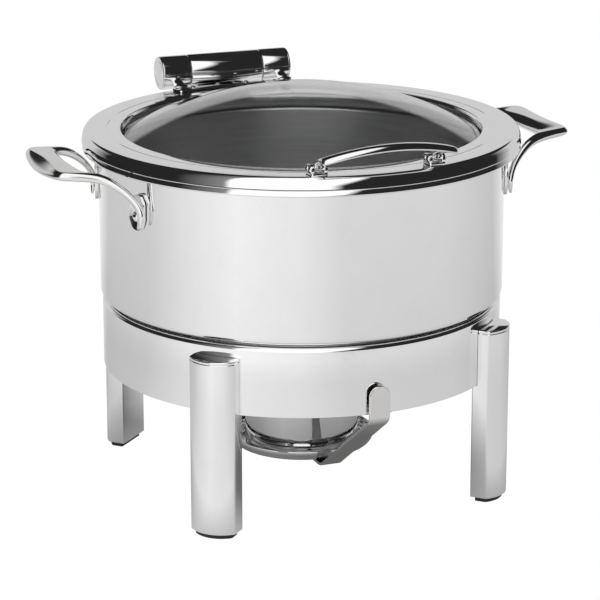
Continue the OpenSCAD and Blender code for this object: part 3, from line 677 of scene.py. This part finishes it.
def make_lid():
    bm = bmesh.new()
    side = [(202.6 + 4.6 * math.cos(math.radians(u)), 332.6 + 10.6 * math.sin(math.radians(u)))
            for u in range(14, 91, 4)]
    turned(bm, [(207.4, 332.4)] + side + [
        (184.0, LID_TOP), (183.6, LID_TOP - 0.45), (183.2, LID_TOP),
        (170.9, LID_TOP + 0.15, 0.9), (WINDOW_R + 0.2, LID_TOP - 2.5, 1.2), (WINDOW_R, 338.6),
        (WINDOW_R, 337.0), (WINDOW_R + 1.6, 337.2), (173.6, LID_TOP - 0.4, 1.6), (182.4, LID_TOP - 1.6),
        (203.4, LID_TOP - 1.6, 2.4), (205.6, 337.5, 2.0), (205.6, 332.4)], 192)
    for i in range(8):
        turned(bm, [(1.6, 328.4), (3.4, 328.4, 0.3), (3.4, 341.8), (1.6, 341.8)], 24,
               turn_z(22.5 + 45 * i) @ at(186, 0, 0))
    piece("pressed_lid_ring", bm, "lid", POLISHED, ["lid_ring"])
    bm = bmesh.new()
    inner = DOME_R - GLASS_T
    steps = [GLASS_EDGE * i / 28 for i in range(29)]
    under = [(x, dome_height(x, inner)) for x in steps]
    over = [(x, dome_height(x, DOME_R)) for x in steps[::-1]]
    turned(bm, under + over, 144)
    piece("glass_dome_lid", bm, "lid", GLASS, ["glass_dome"], sharp=30)
    bm = bmesh.new()
    # a channel that wraps the edge of the glass, its lips at two radii
    e = GLASS_EDGE + 0.15
    upper, lower = WINDOW_R + 1.5, WINDOW_R + 2
    edge_top, lip_top = dome_height(e, DOME_R), dome_height(upper, DOME_R)
    turned(bm, [(upper, lip_top + 0.15), (e, edge_top + 0.15), (e, dome_height(e, inner) - 0.3),
                (lower, dome_height(lower, inner) - 0.3), (lower, 328.3), (e + 2.2, 328.3),
                (e + 2.2, edge_top + 1.4, 0.6), (upper, lip_top + 1.0)], 144)
    piece("glass_edge_gasket", bm, "lid", PALE_RUBBER, ["glass_gasket"])


def grip_ring(x, size):
    """Section of the lid handle's grip at a place along it."""
    t = 1 - (x / 66.0) ** 2
    x += GRIP_X
    y = -216 - 11 * t
    z = 356.0 + 11.0 * t
    spots = ((12, 1.4), (12, 5.2), (9.6, 7), (3.4, 7), (1.2, 6.2), (0, 2.2), (1.0, 0.2), (9.6, 0))
    return [Vector((x, y + 6 + (a - 6) * size, z + 3.5 + (b - 3.5) * size)) for a, b in spots]


def make_lid_handle():
    bm = bmesh.new()
    stations = [(0, 1), (14, 1), (28, 1), (41, 1), (51, 1), (59, 0.98), (63.2, 0.86), (64.6, 0.5)]
    left = [grip_ring(-x, size) for x, size in stations[:0:-1]]
    lofted(bm, left + [grip_ring(x, size) for x, size in stations])
    for s in SIDES:
        arm = [((s * FOOT_X, FOOT_Y + 0.5, 348.5), (0, 1, 0), 8.6, 10.0),
               ((s * FOOT_X, FOOT_Y - 1.0, 352.0), (0, 0.97, 0.25), 9.0, 9.0),
               ((s * (FOOT_X + 0.2), FOOT_Y - 5.5, 355.6), (0, 0.8, 0.6), 9.4, 7.0),
               ((s * (FOOT_X + 0.6), FOOT_Y - 15.5, 359.6), (0, 0.45, 0.9), 9.8, 6.2),
               ((s * (FOOT_X + 0.8), FOOT_Y - 28.0, 362.2), (0, 0.2, 0.98), 9.4, 5.4)]
        lofted(bm, [soft_ring(c, (1, 0, 0), Vector(up).normalized(), w, d) for c, up, w, d in arm])
    bmesh.ops.translate(bm, verts=bm.verts, vec=(HANDLE_X, 0, 0))
    piece("bowed_lid_handle", bm, "lid", FORMED, ["lid_handle"], levels=3, sharp=180)
    for name, s in (("left", -1), ("right", 1)):
        bm = bmesh.new()
        x = s * FOOT_X + HANDLE_X
        join(bm, slab([(-8, -7.5, 2), (8, -7.5, 2), (8, 9, 3), (-8, 9, 3)], LID_TOP + 0.1, LID_TOP + 3, 0.6),
             at(x, FOOT_Y, 0))
        for c in SIDES:
            cheek = slab([(-6.5, 0.5), (8, 0.5), (8, 7.4, 4), (-6.5, 8.8, 4.6)], -1.7, 1.7, 0.6, 3)
            join(bm, cheek, at(x + c * 6.3, FOOT_Y, LID_TOP + 2) @ ALONG_X)
        piece(name + "_lid_handle_foot", bm, "lid", POLISHED, ["handle_foot_" + name])
    bm = bmesh.new()
    for s in SIDES:
        for y in (-3.2, 4):
            spot = at(s * FOOT_X + HANDLE_X, FOOT_Y + y, LID_TOP + 6.2)
            outwards = at(-8.1, 0, 0) @ ALONG_X @ Matrix.Scale(-1, 4, (0, 0, 1))
            turned(bm, domed_head(2.8, 1.6), 28, spot @ outwards)
            turned(bm, [(0, -8.1), (1.6, -8.1), (1.6, 8.6, 0.4), (0, 8.6)], 24, spot @ ALONG_X)
    piece("lid_handle_pins", bm, "lid", POLISHED, ["handle_pins"])


make_skirt()
for leg_name, leg_angle in LEG_ANGLES.items():
    make_leg(leg_name, leg_angle)
make_fuel_holder()
make_vessel()
make_side_handle("right", 0)
make_side_handle("left", 180)
make_handle_rivets()
make_hinge()
make_lid()
make_lid_handle()

# Hidden and simple pieces keep the shape they already have, in their own finishes
KEPT = {"leg_screws": RAIL_SATIN, "fuel_rail_left": RAIL_SATIN, "fuel_rail_right": RAIL_SATIN,
        "rail_tie": RAIL_SATIN, "rail_rivets": RAIL_SATIN, "base_disc": PAN_SATIN, "pan_ledge": PAN_SATIN,
        "hinge_bracket": POLISHED, "bracket_rivets": POLISHED, "hinge_axle": RAIL_SATIN,
        "damper_left": PLASTIC, "damper_right": PLASTIC, "lid_seal": RUBBER,
        "glass_retainer": RAIL_SATIN, "retainer_screws": RAIL_SATIN}
for node_name, kept_finish in KEPT.items():
    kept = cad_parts[node_name]
    for place_slot in kept.material_slots:
        place_slot.material = kept_finish


# ---- Studio ----
CAMERA_TURN = math.radians(-21.2)
CAMERA_RISE = math.radians(16.57)
CAMERA_DISTANCE = 2.5934        # metres, from a point on the axis
CAMERA_AIM_Z = 0.1709
FLOOR_R = 1.34
PANEL_GLOW = 1.12
WALL_GLOW = 0.62
GAP_GLOW = 0.02


def make_camera():
    data = bpy.data.cameras.new("studio camera")
    data.lens = 161.6
    data.sensor_width = 36
    data.shift_x = -0.0024
    camera = bpy.data.objects.new("studio camera", data)
    bpy.context.scene.collection.objects.link(camera)
    level = math.cos(CAMERA_RISE)
    out = Vector((math.sin(CAMERA_TURN) * level, -math.cos(CAMERA_TURN) * level, math.sin(CAMERA_RISE)))
    camera.location = Vector((0, AXIS_Y, CAMERA_AIM_Z)) + out * CAMERA_DISTANCE
    camera.rotation_euler = (-out).to_track_quat("-Z", "Y").to_euler()
    bpy.context.scene.camera = camera


def turn_about_axis(n, x, y):
    """Angle from the front-left key direction, as a number from 0 to 1 over a full turn."""
    c, s = math.cos(CAMERA_TURN), math.sin(CAMERA_TURN)
    side = n.maths("ADD", n.maths("MULTIPLY", x, c), n.maths("MULTIPLY", y, s))
    ahead = n.maths("ADD", n.maths("MULTIPLY", x, s), n.maths("MULTIPLY", y, -c))
    return n.maths("ADD", n.maths("DIVIDE", n.maths("ARCTAN2", side, ahead), 2 * math.pi), 0.5)


def grey(value):
    return (value, value, value)


def make_floor():
    """A pale glowing floor disc, plain white to the camera; in reflections its glow is painted light,
    brightest ahead and to the left, with painted shadow dimming it under the stand.
    """
    bm = bmesh.new()
    bmesh.ops.create_circle(bm, cap_ends=True, segments=96, radius=FLOOR_R)
    bmesh.ops.translate(bm, verts=bm.verts, vec=(0, AXIS_Y, -0.0005))
    mesh = bpy.data.meshes.new("studio floor")
    bm.to_mesh(mesh)
    bm.free()
    floor = bpy.data.objects.new("studio_floor", mesh)
    bpy.context.scene.collection.objects.link(floor)
    material = bpy.data.materials.new("pale studio paper")
    material.use_nodes = True
    material.node_tree.nodes.clear()
    n = Nodes(material.node_tree)
    place = n.add("ShaderNodeMapping")
    place.inputs["Location"].default_value = (0, -AXIS_Y, 0)
    n.wire(n.add("ShaderNodeTexCoord").outputs["Object"], place.inputs["Vector"])
    split = n.add("ShaderNodeSeparateXYZ")
    n.wire(place.outputs[0], split.inputs[0])
    x, y, _ = split.outputs
    round_axis = turn_about_axis(n, x, y)
    # 0.5 is ahead; smaller is left, larger is right
    # painted light: the floor's glow seen in reflections, lighter or darker by direction round the vessel
    tones = ((0.0, 0.85), (0.07, 0.85), (0.13, 0.60), (0.26, 0.67), (0.33, 0.84), (0.41, 0.99), (0.5, 0.90),
             (0.56, 0.76), (0.72, 0.72), (0.86, 0.58), (0.93, 0.85), (1.0, 0.85))
    painted_floor_light = ramp(n, round_axis, *((spot, grey(tone)) for spot, tone in tones))
    out = n.maths("SQRT", n.maths("ADD", n.maths("MULTIPLY", x, x), n.maths("MULTIPLY", y, y)))
    # painted shadow: the floor's glow dimmed under the stand and around the vessel, seen only in reflections
    under = map_range(n, out, 0.10, 0.30, 0.22, 1.0)       # under the stand
    shade = n.maths("MULTIPLY", under, map_range(n, out, 0.55, 0.90, 0.87, 1.0))
    strength = n.maths("MAXIMUM", shade, n.add("ShaderNodeLightPath").outputs["Is Camera Ray"])
    colour = n.add("ShaderNodeMixRGB")
    n.wire(n.add("ShaderNodeLightPath").outputs["Is Camera Ray"], colour.inputs[0])
    n.wire(painted_floor_light, colour.inputs[1])
    colour.inputs[2].default_value = (1.0, 1.0, 1.0, 1)
    glow = n.add("ShaderNodeEmission")
    n.wire(colour.outputs[0], glow.inputs["Color"])
    n.wire(strength, glow.inputs["Strength"])
    surface = n.add("ShaderNodeOutputMaterial")
    n.wire(glow.outputs[0], surface.inputs["Surface"])
    mesh.materials.append(material)


def make_light():
    """A soft tent: a broad white panel ahead, dark gaps at the sides and overhead, a grey wall behind."""
    world = bpy.data.worlds.new("studio light")
    bpy.context.scene.world = world
    world.use_nodes = True
    world.node_tree.nodes.clear()
    n = Nodes(world.node_tree)
    split = n.add("ShaderNodeSeparateXYZ")
    n.wire(n.add("ShaderNodeTexCoord").outputs["Generated"], split.inputs[0])
    x, y, z = split.outputs
    round_axis = turn_about_axis(n, x, y)
    rise = n.maths("DIVIDE", n.maths("ARCSINE", z), math.pi / 2)     # -1 down, 0 level, 1 overhead
    # faint at its left end, then suddenly white
    left_end = n.maths("MAXIMUM", map_range(n, round_axis, 0.317, 0.388, 0, 0.2),
                       map_range(n, round_axis, 0.388, 0.40, 0, 1))
    front = n.maths("MULTIPLY", left_end, map_range(n, round_axis, 0.63, 0.66, 1, 0))
    # the panel's lower edge climbs to the right
    edge = map_range(n, round_axis, 0.49, 0.63, -0.5, 0.62)
    above = map_range(n, n.maths("SUBTRACT", rise, edge), -0.06, 0.10, 0, 1)
    panel = n.maths("MULTIPLY", front, n.maths("MULTIPLY", above, map_range(n, rise, 0.90, 0.98, 1, 0)))
    back = map_range(n, rise, 0.195, 0.225, 1, 0)
    far_side = map_range(n, n.maths("ABSOLUTE", n.maths("SUBTRACT", round_axis, 0.5)), 0.33, 0.38, 0, 1)
    wall = n.maths("MULTIPLY", back, far_side)
    lit = n.maths("ADD", n.maths("MULTIPLY", panel, PANEL_GLOW), n.maths("MULTIPLY", wall, WALL_GLOW))
    total = n.maths("ADD", lit, GAP_GLOW)
    seen = n.add("ShaderNodeMix", data_type="FLOAT")
    n.wire(n.add("ShaderNodeLightPath").outputs["Is Camera Ray"], seen.inputs["Factor"])
    n.wire(total, seen.inputs["A"])
    seen.inputs["B"].default_value = 1.0
    sky = n.add("ShaderNodeBackground")
    sky.inputs["Color"].default_value = (1, 1, 1, 1)
    n.wire(seen.outputs["Result"], sky.inputs["Strength"])
    surface = n.add("ShaderNodeOutputWorld")
    n.wire(sky.outputs[0], surface.inputs["Surface"])


make_camera()
make_floor()
make_light()
bpy.context.scene.view_settings.view_transform = "Standard"
